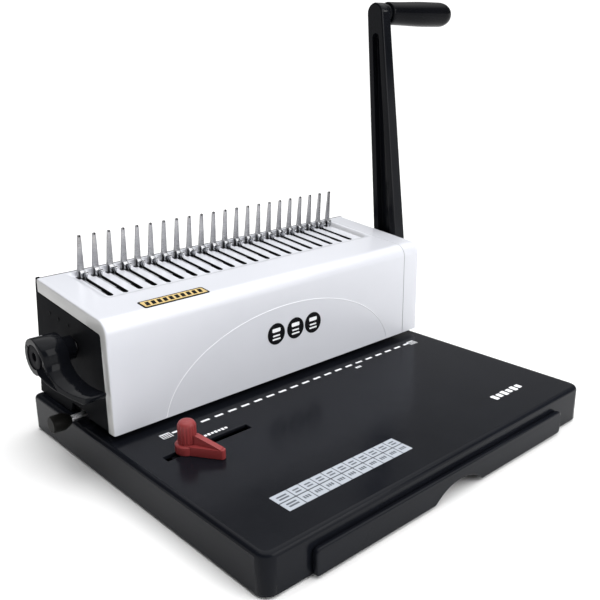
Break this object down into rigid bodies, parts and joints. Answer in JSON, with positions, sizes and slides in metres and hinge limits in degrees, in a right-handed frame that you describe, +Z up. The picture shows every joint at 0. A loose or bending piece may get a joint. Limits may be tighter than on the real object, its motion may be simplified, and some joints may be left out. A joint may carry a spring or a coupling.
{
  "type": "comb binding machine",
  "caption": "Desktop comb binding machine with a punch handle, a comb-opening lever, a finger row on a sloped deck, a paper tray with a side guide and a chip drawer.",
  "frame": {"origin": "middle of the bounding box at the height of the rubber feet's undersides", "axes": "+Z up, +X along the finger row towards the punch handle, -Y towards the user"},
  "size_m": [0.524, 0.335, 0.3768],
  "materials": {
    "shell": "glossy, slightly cool white",
    "tray": "satin black with a faint grain",
    "dark": "satin black, fine texture",
    "knob": "satin brown-black",
    "red": "satin dark red",
    "steel": "zinc plated",
    "nickel": "bright nickel plated",
    "rubber": "matt"
  },
  "bodies": {
    "base": {"base_tray": "tray", "base_bottom_plate": "dark", "foot_front_left": "rubber", "foot_front_right": "rubber", "foot_rear_left": "rubber", "foot_rear_right": "rubber", "drawer_rail_left": "dark", "drawer_rail_right": "dark", "lower_die": "steel", "punch_guide": "steel", "side_frame_left": "steel", "side_frame_right": "steel", "top_cover": "shell", "right_end_cap": "shell", "left_end_cover": "dark", "rear_cover": "dark", "finger_comb": "nickel", "return_spring_left": "steel", "return_spring_right": "steel"},
    "drawer": {"drawer_bin": "dark", "drawer_front": "tray"},
    "handle": {"handle_arm": "dark", "punch_shaft": "steel", "punch_cam_left": "steel", "punch_cam_right": "steel", "grip_spindle": "dark"},
    "grip": {"handle_grip": "dark"},
    "punches": {"punch_bar": "steel"},
    "opener": {"comb_lever": "dark", "lever_screw": "dark", "opener_shaft": "steel", "pinion_left": "steel", "pinion_right": "steel"},
    "hooks": {"hook_comb": "nickel", "rack_arm_left": "steel", "rack_arm_right": "steel"},
    "margin_control": {"margin_knob": "knob", "margin_shaft": "nickel", "depth_stop_bar": "steel"},
    "side_guide": {"guide_slider": "dark"},
    "side_pointer": {"guide_arm": "red"},
    "side_clamp": {"guide_cap": "red"}
  },
  "joints": [
    {"name": "drawer_slide", "type": "slide", "parent": "base", "child": "drawer", "axis": [0, -1, 0], "range_m": [0, 0.17]},
    {"name": "handle_pull", "type": "hinge", "parent": "base", "child": "handle", "pos_m": [0.151, 0.0781, 0.068], "axis": [1, 0, 0], "range_deg": [0, 85], "stiffness_Nm_per_rad": 0.35, "springref_deg": -28.65},
    {"name": "punch_stroke", "type": "slide", "parent": "base", "child": "punches", "axis": [0, 0, -1], "range_m": [0, 0.0096], "deforming": ["return_spring_left", "return_spring_right"]},
    {"name": "grip_spin", "type": "hinge", "parent": "handle", "child": "grip", "pos_m": [0.212, 0.1045, 0.36382], "axis": [1, 0, 0], "continuous": true},
    {"name": "lever_lift", "type": "hinge", "parent": "base", "child": "opener", "pos_m": [-0.2455, 0.089, 0.1], "axis": [1, 0, 0], "range_deg": [-120, 0]},
    {"name": "hook_travel", "type": "slide", "parent": "base", "child": "hooks", "axis": [0, -0.995, -0.0995], "range_m": [0, 0.042]},
    {"name": "margin_turn", "type": "hinge", "parent": "base", "child": "margin_control", "pos_m": [-0.2475, 0.0845, 0.04], "axis": [1, 0, 0], "range_deg": [0, 180]},
    {"name": "guide_slide", "type": "slide", "parent": "base", "child": "side_guide", "axis": [1, 0, 0], "range_m": [-0.017, 0.054]},
    {"name": "pointer_swing", "type": "hinge", "parent": "side_guide", "child": "side_pointer", "pos_m": [-0.1917, -0.0174, 0.038], "axis": [0, 0, 1], "range_deg": [-60, 90]},
    {"name": "clamp_turn", "type": "hinge", "parent": "side_guide", "child": "side_clamp", "pos_m": [-0.1917, -0.0174, 0.05], "axis": [0, 0, 1], "range_deg": [0, 90]}
  ],
  "couplings": [
    {"joint": "punch_stroke", "follows": "handle_pull", "m_per_rad": 0.0064037},
    {"joint": "hook_travel", "follows": "lever_lift", "m_per_rad": -0.02}
  ]
}
